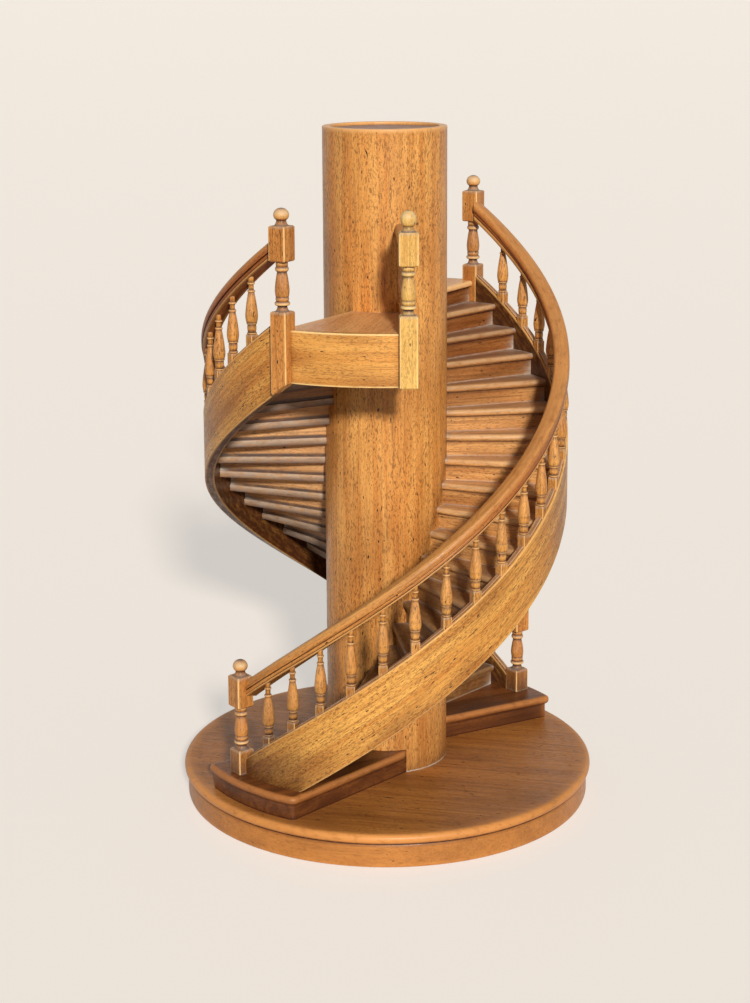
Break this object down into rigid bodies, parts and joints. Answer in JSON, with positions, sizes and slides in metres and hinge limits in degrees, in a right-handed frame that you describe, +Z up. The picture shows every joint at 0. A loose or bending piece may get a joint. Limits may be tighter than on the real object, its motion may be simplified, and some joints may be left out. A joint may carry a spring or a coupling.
{
  "type": "spiral staircase model",
  "caption": "Wooden tabletop model of a double spiral staircase: two winding flights with turned balusters and moulded handrails round a hollow drum on a round base.",
  "frame": {"origin": "centre of the underside of the round base board, on the axis of the drum", "axes": "+Z up the axis of the drum; +X and +Y level, so that the foot newel of the first flight stands at 218.4 degrees anticlockwise from +X; both flights rise anticlockwise as seen from above"},
  "size_m": [0.3499, 0.35, 0.568],
  "materials": {
    "base_wood": "satin varnish, worn",
    "drum_wood": "satin varnish, worn",
    "lid_wood": "satin varnish, worn",
    "step_wood": "satin varnish, worn",
    "string_wood": "satin varnish, worn",
    "strip_wood": "satin varnish, worn",
    "rail_wood": "satin varnish, worn",
    "turned_wood": "satin varnish, worn",
    "newel_wood": "satin varnish, worn",
    "landing_wood": "satin varnish, worn",
    "fascia_wood": "satin varnish, worn"
  },
  "bodies": {
    "root": {"balusters_a": "turned_wood", "balusters_b": "turned_wood", "base_board": "base_wood", "drum": "drum_wood", "drum_lid": "lid_wood", "first_step_block_a": "step_wood", "first_step_block_b": "step_wood", "first_step_board_a": "step_wood", "first_step_board_b": "step_wood", "handrail_a": "rail_wood", "handrail_b": "rail_wood", "landing_balusters_a": "turned_wood", "landing_balusters_b": "turned_wood", "landing_end_string_a": "fascia_wood", "landing_end_string_b": "fascia_wood", "landing_fascia_a": "fascia_wood", "landing_fascia_b": "fascia_wood", "landing_floor_a": "landing_wood", "landing_floor_b": "landing_wood", "landing_rail_a": "rail_wood", "landing_rail_b": "rail_wood", "newel_foot_a": "newel_wood", "newel_foot_b": "newel_wood", "newel_head_a": "newel_wood", "newel_head_b": "newel_wood", "newel_landing_a": "newel_wood", "newel_landing_b": "newel_wood", "risers_a": "step_wood", "risers_b": "step_wood", "string_a": "string_wood", "string_b": "string_wood", "string_strips_a": "strip_wood", "string_strips_b": "strip_wood", "treads_a": "step_wood", "treads_b": "step_wood"}
  },
  "joints": []
}
